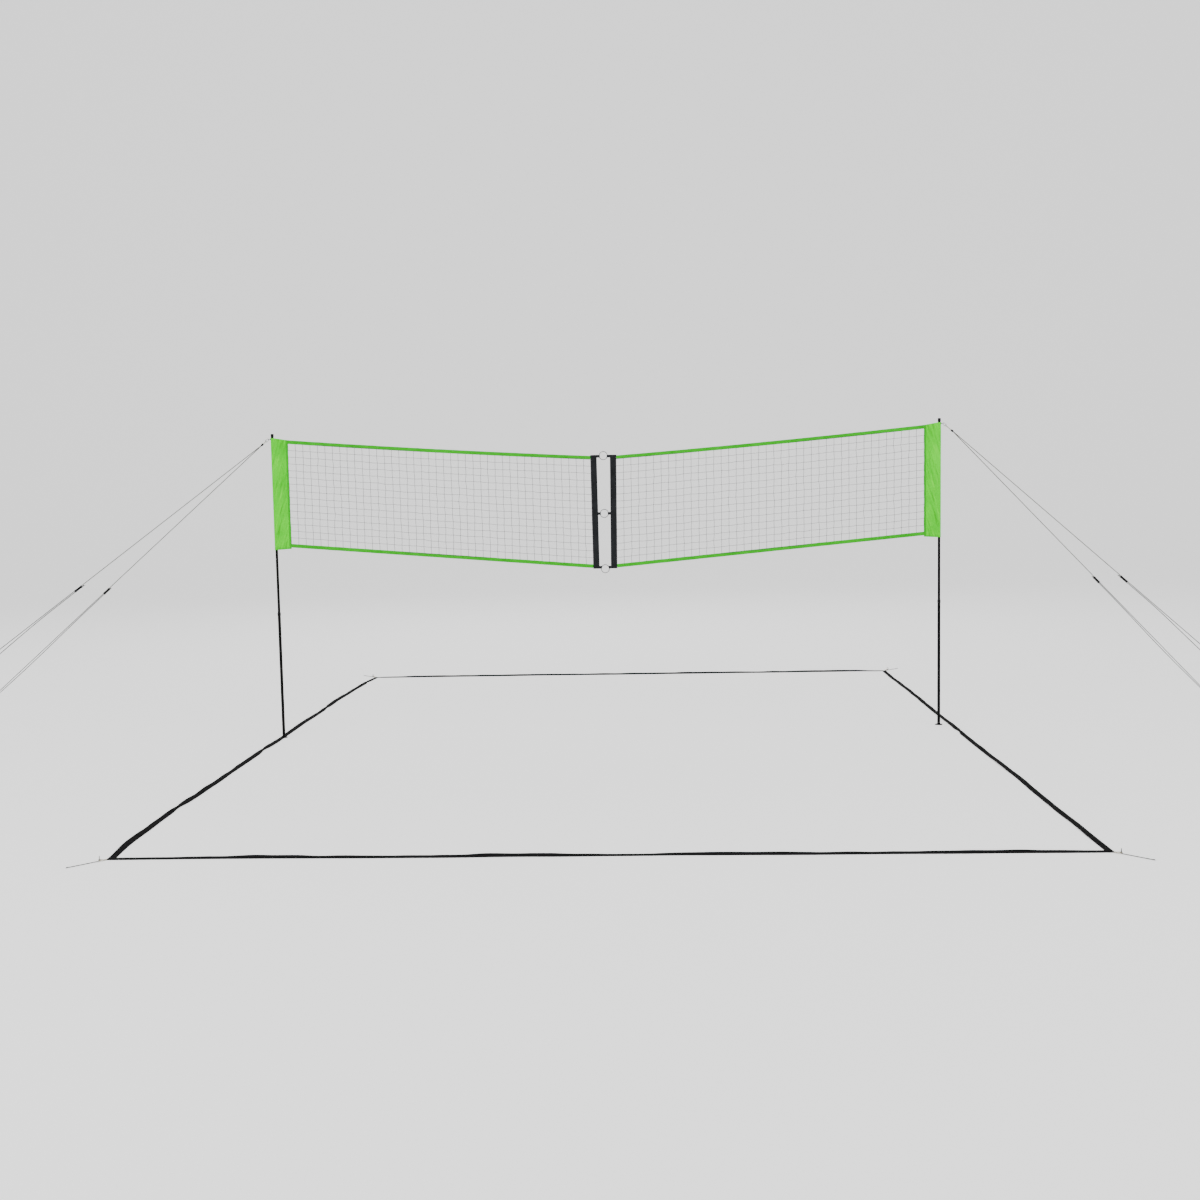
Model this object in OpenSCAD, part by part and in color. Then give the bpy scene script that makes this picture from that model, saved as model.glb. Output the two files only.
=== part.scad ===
// Family volleyball net on two telescopic poles, with guy ropes and a webbing court boundary.
// X runs along the net, Y across it towards the back of the court, Z is up, and the ground is Z = 0.

/* [Court] */
// Length of the front and back lines
court_w = 5020; // [5010:5:5050]
// Length of the side lines
court_l = 6500; // [5000:50:7500]
// Turn of the court under the net, as it was laid by hand
court_turn = -2.7; // [-4:0.1:0]
// Sideways place of the court's centre
court_x = 250; // [245:5:275]
// How far the left line bows outwards between its corners
side_bow = 48; // [0:4:60]
// Width of the line webbing
webbing_w = 40; // [30:1:50]
// Thickness of the line webbing
webbing_t = 1.8; // [1.2:0.1:2.5]

/* [Poles] */
// Sideways place of the left pole
left_pole_x = -2270; // [-2400:10:-2100]
// Sideways place of the right pole
right_pole_x = 2660; // [2500:10:2800]
// Place of both poles along the court
pole_y = 180; // [0:10:400]
// Height of the left pole at its highest setting
pole_h = 2268; // [2268:4:2400]
// How much further the right pole is drawn out
right_rise = 24; // [0:1:24]
// Height of the top of the lower tube
lower_top = 940; // [800:10:1000]
// Height of the left pole's joint between the middle and the upper tube
joint_z = 1313; // [1300:1:1335]
// How far the poles lower
travel = 360; // [100:10:360]
// Outer diameter of the lower tube
lower_d = 22; // [21.8:0.1:22.4]
// Outer diameter of the middle and upper tubes
slim_d = 19; // [18.8:0.1:19.2]
// Wall of every tube
tube_wall = 1.2; // [1:0.1:1.2]
// Diameter of the foot plate
foot_d = 56; // [40:1:60]

/* [Net] */
// Sideways place of the gap between the two halves of the net
centre_x = 170; // [100:5:250]
// Height of the net's top edge at the left sleeve
net_top_side = 2220; // [2200:5:2225]
// Height of the net's top edge at the centre
net_top_mid = 2063; // [2000:1:2200]
// Height of the net's bottom edge at the pole sleeves
net_bottom_side = 1428; // [1424:1:1440]
// Height of the net's bottom edge at the centre
net_bottom_mid = 1232; // [1200:1:1400]
// Dip of the top edge below a straight line
net_sag = 8; // [0:1:20]
// Width of the top and bottom tapes
tape_w = 27; // [15:1:40]
// Thickness of the tapes
tape_t = 2.4; // [1.5:0.1:3]
// Thickness of the solid that stands for the twine
netting_t = 1; // [0.8:0.1:2]
// Width of a sleeve from the pole's axis to the netting
sleeve_w = 112; // [80:1:140]
// Outer diameter of a sleeve where it wraps the pole
sleeve_d = 24; // [23:0.5:30]
// Width of the two upright straps at the centre
strap_w = 48; // [40:1:50]
// Gap between the centre straps at the top
gap_top = 98; // [96:1:120]
// Gap between the centre straps at the bottom
gap_bottom = 84; // [82:1:120]

/* [Rings and hooks] */
// Middle radius of a centre ring
ring_r = 30; // [28:0.5:31]
// Wire diameter of a centre ring
ring_wire = 5; // [4:0.5:5]
// Heights of the three centre rings
ring_heights = [2063, 1636, 1225];
// Middle radius of a peg ring
peg_ring_r = 11; // [11:0.5:14]
// Wire diameter of the peg rings, hooks and pegs' eyes
wire_d = 3; // [2.6:0.1:3]
// Length of a peg
peg_l = 165; // [120:5:220]
// Diameter of a peg
peg_d = 4; // [3:0.5:5]

/* [Guy ropes] */
// Sideways distance of every guy peg from the middle
guy_x = 5065; // [5000:5:5200]
// Distance of the left guy pegs in front of and behind the pole
left_spread = 850; // [600:10:1100]
// Distance of the right guy pegs in front of and behind the pole
right_spread = 650; // [500:10:1100]
// Diameter of the rope
rope_d = 5; // [4:0.1:5]
// Share of each guy above its runner: left front, left back, right front, right back
runner_share = [0.464, 0.5, 0.504, 0.528];
// Length of a runner
runner_l = 62; // [50:1:70]

/* [Hidden] */
$fn = 48;
left = -1;
right = 1;
front = -1;
back = 1;
sides = [left, right];
ends = [front, back];

// Fits
slide_gap = 0.1;
soft_gap = 0.4;
bore_gap = 0.5;

// Tubes
lower_id = lower_d - 2 * tube_wall;
slim_id = slim_d - 2 * tube_wall;
swage_d = slim_id - 2 * slide_gap;
swage_l = 66;
plate_t = 5;
foot_plug_l = 35;
plug_l = 30;
foot_room = 10;
middle_bottom = plate_t + foot_plug_l + foot_room + plug_l + travel;
bush_l = 22;
bush_d = 25;
cap_l = 24;
cap_d = 22;
cap_plug_l = 9;

// Snap button
button_z = 1344;
button_turn = 50;
button_d = 6.4;
button_hole_d = 7;
button_reach = 4;
button_flange_x = 5;
button_flange_t = 1.2;
button_flange_d = 8.6;
leaf_t = 0.8;
leaf_w = 7;
leaf_l = 46;

// Hook train at the pole top, in the plane of the net, with X outwards
eye_z = 2228;
eye_x = 24;
eye_r = 6;
shank_d = 4;
hook_tilt = 40;
hook_r = 6.5;
hook_straight = 16;
gate_d = 2.4;
gate_gap = 0.4;
gate_pivot_x = 20.3;
gate_pin_d = 1.4;
cheek_t = 1.1;
cheek_y = 1.85;
cheek_h = 3.8;
cheek_l = 6.4;
pull = [cos(hook_tilt), -sin(hook_tilt)];
hook_top = [eye_x + eye_r, eye_z] - (wire_d + 0.2) * pull;
rope_start = hook_top + (hook_straight + 2 * hook_r + wire_d / 2 + 0.6) * pull;
ferrule_at = [62, 88];
ferrule_l = 18;
ferrule_d = 14;
rope_pitch = 6.6;

// Net
panel_steps = 8;
sleeve_top = 2237;
sleeve_bottom = 1412;
sleeve_edge_t = 5;
strap_t = 1.8;
strap_over = 4;
strap_seam = 3;
tab_h = 20;
tab_t = 1.6;
tab_drop = 6;
tab_clear = 0.35;

// Left line
bow_steps = 24;

// Pegs
eye_hole_z = 6.3;
peg_eye_r = 4.5;
peg_point_l = 15;
ring_play = 1;
corner_reach = 30;
loop_w = 16;
ring_face_turn = 20;

// Guys
strand_gap = 8.4;
sag_depth = [26, 8];
sag_steps = 12;
straight_l = 190;
runner_w = 18;
runner_t = 8;
runner_tail = 8;

function pole_x(s) = s < 0 ? left_pole_x : right_pole_x;
function spread(s) = s < 0 ? left_spread : right_spread;
function mast_rise(s) = s < 0 ? 0 : right_rise;
function ferrule_mid(s) = hook_top + ferrule_at[s < 0 ? 0 : 1] * pull;
function ferrule_end(s) = ferrule_mid(s) + (ferrule_l / 2 + 3) * pull;
function unit(v) = v / norm(v);
function lerp(a, b, t) = a + (b - a) * t;

// Turn of the court applied to a point on the ground
function laid(p) = [
    court_x + p[0] * cos(court_turn) - p[1] * sin(court_turn),
    p[0] * sin(court_turn) + p[1] * cos(court_turn)
];

// Guy geometry: peg eye, ring top, rope top, direction up the rope and the normal on its underside
function peg_eye(s, f) = [s * guy_x, pole_y + f * spread(s), eye_hole_z];
function rope_top(s, f) = [
    pole_x(s) + s * ferrule_end(s)[0],
    pole_y + f * rope_pitch / 2,
    ferrule_end(s)[1] + mast_rise(s)
];
function guy_dir(s, f) = unit(rope_top(s, f) - peg_eye(s, f));
function guy_side(s, f) = unit(cross(guy_dir(s, f), [0, 0, 1]));
function guy_under(s, f) = cross(guy_dir(s, f), guy_side(s, f));
function ring_top(s, f) = peg_eye(s, f) + (2 * peg_ring_r + ring_play) * guy_dir(s, f);
function strand_end(s, f) = ring_top(s, f) - strand_gap / 2 * guy_under(s, f);
function guy_index(s, f) = (s < 0 ? 0 : 2) + (f < 0 ? 0 : 1);
function guy_span(s, f) = norm(rope_top(s, f) - strand_end(s, f));
function strand_dir(s, f) = unit(rope_top(s, f) - strand_end(s, f));
function runner_from_peg(s, f) = (1 - runner_share[guy_index(s, f)]) * guy_span(s, f);

// Net edges: heights along a half, from the sleeve at t = 0 to the centre strap at t = 1
function net_top(s, t) = lerp(net_top_side + mast_rise(s), net_top_mid, t) - net_sag * 4 * t * (1 - t);
function net_bottom(t) = lerp(net_bottom_side, net_bottom_mid, t);
function inner_edge_x(s) = pole_x(s) - s * (sleeve_w + (s > 0 ? soft_gap : 0));
function strap_edge(s, z) = centre_x + s * lerp(
    gap_bottom / 2, gap_top / 2, (z - net_bottom_mid) / (net_top_mid - net_bottom_mid));
function panel_end(s, z) = strap_edge(s, z) + s * strap_w;
function panel_point(s, t, z) = [lerp(inner_edge_x(s), panel_end(s, z), t), z];

// ---- shared shapes ----

module pipe(od, id, z0, z1) {
    difference() {
        translate([0, 0, z0]) cylinder(d = od, h = z1 - z0);
        translate([0, 0, z0 - 1]) cylinder(d = id, h = z1 - z0 + 2);
    }
}

module torus(r, wire) {
    rotate_extrude() translate([r, 0]) circle(d = wire, $fn = 24);
}

// Puts a part at a pole, with its local X pointing outwards
module at_pole(s) {
    translate([pole_x(s), pole_y, 0]) mirror([s < 0 ? 1 : 0, 0, 0]) children();
}

// The sliding part of a pole, drawn out further on the right
module at_mast(s) {
    at_pole(s) translate([0, 0, mast_rise(s)]) children();
}

// Stands an outline of the XZ plane up, centred on the plane of the net
module upright(t) {
    translate([0, pole_y + t / 2, 0]) rotate([90, 0, 0]) linear_extrude(t) children();
}

// A rope swept as one closed tube along its points
module rope(points, d, n = 8) {
    last = len(points) - 1;
    rings = [for (i = [0 : last]) let(
        t = unit(points[min(i + 1, last)] - points[max(i - 1, 0)]),
        u = unit(cross(t, [0, 0, 1])),
        v = cross(u, t)
    ) for (k = [0 : n - 1]) points[i] + d / 2 * (cos(360 * k / n) * u + sin(360 * k / n) * v)];
    skin = [for (i = [0 : last - 1]) for (k = [0 : n - 1])
        [i * n + k, (i + 1) * n + k, (i + 1) * n + (k + 1) % n, i * n + (k + 1) % n]];
    start_face = [[for (k = [0 : n - 1]) k]];
    end_face = [[for (k = [n - 1 : -1 : 0]) last * n + k]];
    polyhedron(rings, concat(start_face, skin, end_face));
}

// ---- poles ----

// The left foot stands on the webbing of the side line
module foot(s) {
    base = s < 0 ? webbing_t : 0;
    color("#1b1b1b") at_pole(s) {
        translate([0, 0, base]) cylinder(d = foot_d, h = plate_t - 2 - base);
        translate([0, 0, plate_t - 2]) cylinder(d1 = foot_d, d2 = foot_d - 12, h = 2);
        translate([0, 0, plate_t]) cylinder(d = lower_id, h = foot_plug_l);
    }
}

module lower_tube(s) {
    color("#141414") at_pole(s) pipe(lower_d, lower_id, plate_t, lower_top);
}

module guide_bush(s) {
    flange_z = lower_top + 4;
    color("#202020") at_pole(s) {
        pipe(bush_d, lower_d, flange_z - bush_l, lower_top);
        pipe(bush_d, slim_d + 2 * slide_gap, lower_top, flange_z);
    }
}

module lock_plug(s) {
    color("#2c2c2c") at_mast(s) {
        translate([0, 0, middle_bottom - plug_l]) cylinder(d = lower_id - 2 * slide_gap, h = plug_l);
        translate([0, 0, middle_bottom]) cylinder(d = slim_id, h = plug_l * 0.7);
    }
}

// Local frame of the snap button: Z out through the tube's wall, turned towards the front of the court
module at_button() {
    rotate([0, 0, -button_turn]) translate([0, 0, button_z]) rotate([0, 90, 0]) children();
}

// The middle tube's top end is swaged down to slip into the upper tube
module middle_tube(s) {
    swage_id = swage_d - 2 * tube_wall;
    color("#161616") at_mast(s) difference() {
        union() {
            pipe(slim_d, slim_id, middle_bottom, joint_z - 8);
            pipe(slim_d, swage_id, joint_z - 8, joint_z);
            pipe(swage_d, swage_id, joint_z, joint_z + swage_l);
        }
        at_button() cylinder(d = button_hole_d, h = slim_d);
    }
}

module upper_tube(s) {
    color("#161616") at_mast(s) difference() {
        pipe(slim_d, slim_id, joint_z, pole_h - cap_l);
        at_button() cylinder(d = button_hole_d, h = slim_d);
        translate([0, 0, eye_z]) rotate([0, 90, 0]) cylinder(d = shank_d, h = slim_d);
    }
}

module snap_button(s) {
    dome = button_d / 2;
    tip = slim_d / 2 + button_reach;
    color("#d9d9d9") at_mast(s) at_button() {
        translate([0, 0, button_flange_x - button_flange_t])
            cylinder(d = button_flange_d, h = button_flange_t);
        translate([0, 0, button_flange_x]) cylinder(d = button_d, h = tip - dome * 0.5 - button_flange_x);
        translate([0, 0, tip - dome * 0.5]) cylinder(d1 = button_d, d2 = button_d * 0.6, h = dome * 0.5);
    }
}

// A folded leaf whose free arm pushes the button outwards
module button_spring(s) {
    free_x = button_flange_x - button_flange_t - 0.2;
    fixed_x = -sqrt(pow(swage_d / 2 - tube_wall, 2) - pow(leaf_w / 2, 2));
    leaf_top = button_z + 5;
    leaf_bottom = leaf_top - leaf_l;
    color("#b9bcc0") at_mast(s) rotate([0, 0, -button_turn]) translate([0, leaf_w / 2, 0])
        rotate([90, 0, 0]) linear_extrude(leaf_w) polygon([
            [free_x, leaf_top], [free_x - leaf_t, leaf_top],
            [fixed_x + 2 * leaf_t, leaf_bottom + 3], [fixed_x + leaf_t, leaf_bottom + 3],
            [fixed_x + leaf_t, leaf_top], [fixed_x, leaf_top],
            [fixed_x, leaf_bottom], [fixed_x + 3 * leaf_t, leaf_bottom]
        ]);
}

module cap(s) {
    edge = 3;
    color("#101010") at_mast(s) translate([0, 0, pole_h - cap_l]) {
        cylinder(d = cap_d, h = cap_l - edge);
        translate([0, 0, cap_l - edge]) rotate_extrude() {
            square([cap_d / 2 - edge, edge]);
            translate([cap_d / 2 - edge, 0]) intersection() {
                circle(r = edge, $fn = 24);
                square(edge);
            }
        }
        translate([0, 0, -cap_plug_l]) cylinder(d = slim_id, h = cap_plug_l);
    }
}

// ---- hook train ----

module eye_bolt(s) {
    nut_d = 8;
    nut_x = slim_id / 2 - 1.1;
    color("#2a2c2a") at_mast(s) translate([0, 0, eye_z]) {
        translate([eye_x, 0, 0]) torus(eye_r, wire_d);
        rotate([0, 90, 0]) translate([0, 0, nut_x]) cylinder(d = shank_d, h = eye_x - eye_r - nut_x);
        rotate([0, 90, 0]) translate([0, 0, nut_x - 3]) cylinder(d = nut_d, h = 3, $fn = 6);
    }
}

// Local frame of the hook: X along the pull, origin at the top end's middle line
module at_hook(s) {
    at_mast(s) translate([hook_top[0], 0, hook_top[1]]) rotate([0, hook_tilt, 0]) children();
}

module hook_arc(angle) {
    rotate([90, 0, 0]) rotate_extrude(angle = angle) translate([hook_r, 0]) circle(d = wire_d, $fn = 24);
}

// Snap hook: two round ends, one straight side, and two cheeks that hold the gate's pin
module hook(s) {
    color("#cfd2d6") at_hook(s) {
        translate([hook_r, 0, 0]) rotate([0, -90, 0]) hook_arc(180);
        translate([hook_r + hook_straight, 0, 0]) rotate([0, 90, 0]) hook_arc(180);
        translate([hook_r, 0, -hook_r]) rotate([0, 90, 0]) cylinder(d = wire_d, h = hook_straight);
        difference() {
            for (y = ends) translate([gate_pivot_x - 2, y * cheek_y - cheek_t / 2, hook_r - cheek_h / 2])
                cube([cheek_l, cheek_t, cheek_h]);
            translate([gate_pivot_x, 0, hook_r]) rotate([90, 0, 0])
                cylinder(d = gate_pin_d + slide_gap, h = 4 * wire_d, center = true);
        }
    }
}

module hook_gate(s) {
    start = hook_r + gate_gap;
    pin_l = 2 * cheek_y + cheek_t;
    color("#e4e6e8") at_hook(s) {
        translate([start, 0, hook_r]) rotate([0, 90, 0])
            cylinder(d = gate_d, h = gate_pivot_x + gate_d / 2 - start);
        translate([gate_pivot_x, 0, hook_r]) rotate([90, 0, 0])
            cylinder(d = gate_pin_d, h = pin_l, center = true);
    }
}

module ferrule(s) {
    middle = ferrule_mid(s);
    color("#181818") at_mast(s) translate([middle[0], 0, middle[1]]) rotate([0, 90 + hook_tilt, 0])
        difference() {
            cylinder(d = ferrule_d, h = ferrule_l, center = true);
            for (y = ends) translate([0, y * rope_pitch / 2, 0])
                cylinder(d = rope_d + 2 * bore_gap, h = ferrule_l + 2, center = true);
        }
}

// ---- net ----

// A fabric pocket round the pole that flattens towards the netting
module sleeve(s) {
    top = sleeve_top + mast_rise(s);
    edge_top = net_top_side + mast_rise(s);
    color("#7ac943") at_pole(s) difference() {
        translate([0, 0, sleeve_bottom]) linear_extrude(top - sleeve_bottom) difference() {
            union() {
                circle(d = sleeve_d);
                polygon([[-4, sleeve_d / 2 - 0.8], [-sleeve_w, sleeve_edge_t / 2],
                         [-sleeve_w, -sleeve_edge_t / 2], [-4, -sleeve_d / 2 + 0.8]]);
            }
            circle(d = slim_d + 2 * soft_gap);
        }
        translate([0, sleeve_d, 0]) rotate([90, 0, 0]) linear_extrude(2 * sleeve_d) polygon([
            [-slim_d / 2, top], [-sleeve_w - 1, edge_top], [-sleeve_w - 1, top + 5], [-slim_d / 2, top + 5]
        ]);
    }
}

// Outline between two heights of a net half, followed out along one edge and back along the other
module panel_outline(s, from_top, from_bottom, top_band, bottom_band) {
    steps = [0 : panel_steps];
    upper = [for (i = steps) let(t = i / panel_steps)
        panel_point(s, t, top_band ? net_top(s, t) - from_top : net_bottom(t) + from_top)];
    lower = [for (i = [panel_steps : -1 : 0]) let(t = i / panel_steps)
        panel_point(s, t, bottom_band ? net_bottom(t) + from_bottom : net_top(s, t) - from_bottom)];
    polygon(concat(upper, lower));
}

module netting(s) {
    color("#cfd3cf") upright(netting_t) panel_outline(s, tape_w, tape_w, true, true);
}

module top_tape(s) {
    color("#4cb82e") upright(tape_t) panel_outline(s, 0, tape_w, true, false);
}

module bottom_tape(s) {
    color("#4cb82e") upright(tape_t) panel_outline(s, tape_w, 0, false, true);
}

module centre_strap(s) {
    top = net_top_mid + strap_over;
    bottom = net_bottom_mid - strap_over;
    color("#26282a") upright(strap_t) polygon([
        [strap_edge(s, top), top], [panel_end(s, top), top],
        [panel_end(s, bottom), bottom], [strap_edge(s, bottom), bottom]
    ]);
}

// One loop of webbing round the side of a ring, with its two ends sewn to the faces of a centre strap
module ring_tab(s, z) {
    reach = tab_h / 2 - tab_drop;
    mid_z = min(max(z, net_bottom_mid + reach), net_top_mid - reach);
    rise = abs(mid_z - z) + tab_h / 2;
    half = ring_wire / 2 + tab_clear;
    inside = sqrt(pow(ring_r - half, 2) - rise * rise);
    edge = s * (strap_edge(s, mid_z) - centre_x);
    far = edge + strap_w - strap_seam;
    flat = strap_t / 2;
    translate([centre_x, pole_y, mid_z - tab_h / 2]) mirror([s < 0 ? 1 : 0, 0, 0]) linear_extrude(tab_h)
        difference() {
            polygon([
                [inside - tab_t, -half - tab_t], [ring_r + half, -half - tab_t], [edge, -flat - tab_t],
                [far, -flat - tab_t], [far, flat + tab_t], [edge, flat + tab_t],
                [ring_r + half, half + tab_t], [inside - tab_t, half + tab_t]
            ]);
            polygon([
                [inside, -half], [ring_r + half, -half], [edge, -flat], [far + 1, -flat],
                [far + 1, flat], [edge, flat], [ring_r + half, half], [inside, half]
            ]);
        }
}

module ring_tabs() {
    color("#1d1f20") for (s = sides, z = ring_heights) ring_tab(s, z);
}

module centre_ring(i) {
    color("#c9ccd1") translate([centre_x, pole_y, ring_heights[i]]) rotate([90, 0, 0])
        torus(ring_r, ring_wire);
}

// ---- court ----

module on_court() {
    translate([court_x, 0, 0]) rotate([0, 0, court_turn]) children();
}

module end_line(f) {
    y = f * (court_l / 2 - webbing_w / 2) - webbing_w / 2;
    color("#121212") on_court() translate([-court_w / 2, y, 0]) cube([court_w, webbing_w, webbing_t]);
}

// Outer edge of a side line: the left one bows outwards, under the pole's foot
function side_edge(s, y, half) = court_w / 2 + (s < 0 ? side_bow * (1 - pow(y / half, 8)) : 0);

module side_line(s) {
    half = court_l / 2 - webbing_w;
    outer = [for (i = [-bow_steps : bow_steps]) let(y = half * i / bow_steps) [s * side_edge(s, y, half), y]];
    inner = [for (i = [len(outer) - 1 : -1 : 0]) outer[i] - [s * webbing_w, 0]];
    color("#121212") on_court() linear_extrude(webbing_t) polygon(concat(outer, inner));
}

// Puts a part at a court corner, with X pointing outwards along the diagonal
module at_corner(s, f) {
    corner = laid([s * court_w / 2, f * court_l / 2]);
    diagonal = atan2(f, s) + court_turn;
    translate([corner[0], corner[1], 0]) rotate([0, 0, diagonal]) children();
}

module corner_loops() {
    color("#cfc9b4") for (s = sides, f = ends) at_corner(s, f)
        translate([0.6, -loop_w / 2, 0]) cube([corner_reach - peg_ring_r * 0.7, loop_w, webbing_t]);
}

module peg() {
    shaft_x = peg_eye_r + wire_d * 0.3;
    translate([0, 0, eye_hole_z]) rotate([90, 0, 0]) torus(peg_eye_r, wire_d + 0.4);
    point_x = shaft_x + peg_l - peg_point_l;
    translate([shaft_x, 0, peg_d / 2]) rotate([0, 90, 0]) cylinder(d = peg_d, h = point_x - shaft_x);
    translate([point_x, 0, peg_d / 2]) rotate([0, 90, 0]) cylinder(d1 = peg_d, d2 = 1.2, h = peg_point_l);
}

module corner_peg_place(s, f) {
    at_corner(s, f) translate([corner_reach, 0, 0]) children();
}

module guy_peg_place(s, f) {
    out = -guy_dir(s, f);
    translate([peg_eye(s, f)[0], peg_eye(s, f)[1], 0]) rotate([0, 0, atan2(out[1], out[0])]) children();
}

module pegs() {
    color("#8d9296") for (s = sides, f = ends) {
        corner_peg_place(s, f) peg();
        guy_peg_place(s, f) peg();
    }
}

// A ring hangs on each peg's eye: upright at the court corners, drawn along the rope at the guys
module peg_rings() {
    color("#b5b9bd") for (s = sides, f = ends) {
        corner_peg_place(s, f) translate([0, 0, eye_hole_z + peg_ring_r - ring_play])
            rotate([0, 0, -s * f * ring_face_turn]) rotate([0, 90, 0]) torus(peg_ring_r, wire_d);
        guy_peg_place(s, f) translate([0, 0, eye_hole_z]) rotate([0, asin(guy_dir(s, f)[2]), 0])
            translate([-peg_ring_r - ring_play, 0, 0]) torus(peg_ring_r, wire_d);
    }
}

// ---- guy ropes ----

// From the hook through the ferrule and straight down to the peg's ring
module guy(s, f) {
    start = [pole_x(s) + s * rope_start[0], pole_y + f * rope_pitch / 2, rope_start[1] + mast_rise(s)];
    top = rope_top(s, f);
    bottom = strand_end(s, f);
    color("#23241c") rope(concat(
        [start, lerp(start, top, 0.5), lerp(start, top, 0.9), lerp(top, bottom, 0.002)],
        [for (i = [1 : 12]) lerp(top, bottom, i / 12)]
    ), rope_d);
}

// From the peg's ring up to the runner, hanging a little below the guy
module guy_return(s, f) {
    reach = runner_from_peg(s, f);
    sag_l = reach - straight_l;
    base = strand_end(s, f) + strand_gap * guy_under(s, f);
    sag = sag_depth[f < 0 ? 0 : 1];
    color("#2b2c22") rope(concat(
        [for (i = [0 : sag_steps]) let(t = i / sag_steps)
            base + t * sag_l * strand_dir(s, f) + sag * pow(sin(180 * t), 2) * guy_under(s, f)],
        [for (x = [sag_l + 60, reach, reach + runner_l / 2 + runner_tail]) base + x * strand_dir(s, f)]
    ), rope_d);
}

// A waisted bar on both strands, free to slide along them
module runner(s, f) {
    mid = strand_end(s, f) + runner_from_peg(s, f) * strand_dir(s, f) + strand_gap / 2 * guy_under(s, f);
    d = strand_dir(s, f);
    heading = atan2(d[1], d[0]);
    tilt = asin(d[2]);
    bore_d = rope_d + 2 * bore_gap;
    lobe = 10;
    color("#0f0f0f") translate(mid) rotate([0, 0, heading]) rotate([0, -tilt, 0]) difference() {
        union() {
            cube([runner_l, runner_t, runner_w - 2], center = true);
            for (x = sides) translate([x * (runner_l - lobe) / 2, 0, 0])
                cube([lobe, runner_t + 1.6, runner_w], center = true);
        }
        for (z = ends) translate([0, 0, z * strand_gap / 2]) rotate([0, 90, 0])
            cylinder(d = bore_d, h = runner_l + 2, center = true);
    }
}

foot(left);  // left_foot
foot(right);  // right_foot
lower_tube(left);  // left_lower_tube
lower_tube(right);  // right_lower_tube
guide_bush(left);  // left_guide_bush
guide_bush(right);  // right_guide_bush
lock_plug(left);  // left_lock_plug
lock_plug(right);  // right_lock_plug
middle_tube(left);  // left_middle_tube
middle_tube(right);  // right_middle_tube
upper_tube(left);  // left_upper_tube
upper_tube(right);  // right_upper_tube
snap_button(left);  // left_snap_button
snap_button(right);  // right_snap_button
button_spring(left);  // left_button_spring
button_spring(right);  // right_button_spring
cap(left);  // left_cap
cap(right);  // right_cap
eye_bolt(left);  // left_eye_bolt
eye_bolt(right);  // right_eye_bolt
hook(left);  // left_hook
hook(right);  // right_hook
hook_gate(left);  // left_hook_gate
hook_gate(right);  // right_hook_gate
ferrule(left);  // left_ferrule
ferrule(right);  // right_ferrule
sleeve(left);  // left_sleeve
sleeve(right);  // right_sleeve
netting(left);  // left_netting
netting(right);  // right_netting
top_tape(left);  // left_top_tape
top_tape(right);  // right_top_tape
bottom_tape(left);  // left_bottom_tape
bottom_tape(right);  // right_bottom_tape
centre_strap(left);  // left_centre_strap
centre_strap(right);  // right_centre_strap
ring_tabs();
centre_ring(0);  // top_ring
centre_ring(1);  // middle_ring
centre_ring(2);  // bottom_ring
end_line(front);  // court_front_line
end_line(back);  // court_back_line
side_line(left);  // court_left_line
side_line(right);  // court_right_line
corner_loops();
peg_rings();
pegs();
guy(left, front);  // left_front_guy
guy(left, back);  // left_back_guy
guy(right, front);  // right_front_guy
guy(right, back);  // right_back_guy
guy_return(left, front);  // left_front_return
guy_return(left, back);  // left_back_return
guy_return(right, front);  // right_front_return
guy_return(right, back);  // right_back_return
runner(left, front);  // left_front_runner
runner(left, back);  // left_back_runner
runner(right, front);  // right_front_runner
runner(right, back);  // right_back_runner
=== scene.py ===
import math

import bmesh
import bpy
import numpy as np
from mathutils import Matrix, Vector, noise


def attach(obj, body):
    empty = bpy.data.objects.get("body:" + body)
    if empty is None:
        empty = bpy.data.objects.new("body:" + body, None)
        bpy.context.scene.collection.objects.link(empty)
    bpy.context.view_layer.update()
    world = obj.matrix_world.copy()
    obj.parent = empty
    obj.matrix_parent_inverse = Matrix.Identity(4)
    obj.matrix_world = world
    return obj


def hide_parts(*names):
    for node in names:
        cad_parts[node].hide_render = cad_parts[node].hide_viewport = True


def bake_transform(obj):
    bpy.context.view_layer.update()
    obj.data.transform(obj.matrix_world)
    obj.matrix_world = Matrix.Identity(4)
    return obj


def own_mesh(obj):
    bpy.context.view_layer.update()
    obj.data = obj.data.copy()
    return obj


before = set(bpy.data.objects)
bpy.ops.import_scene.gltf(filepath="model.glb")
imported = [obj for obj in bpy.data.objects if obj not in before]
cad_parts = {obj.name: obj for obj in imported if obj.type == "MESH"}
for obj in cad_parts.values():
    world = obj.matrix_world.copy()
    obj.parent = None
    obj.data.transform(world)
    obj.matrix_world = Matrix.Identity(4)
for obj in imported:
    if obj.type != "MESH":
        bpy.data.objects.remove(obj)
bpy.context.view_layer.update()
rng = np.random.default_rng(11)
LEFT, RIGHT, FRONT, BACK = -1, 1, -1, 1
SIDES, ENDS = (LEFT, RIGHT), (FRONT, BACK)
SIDE = {LEFT: "left", RIGHT: "right"}
END = {FRONT: "front", BACK: "back"}

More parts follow.
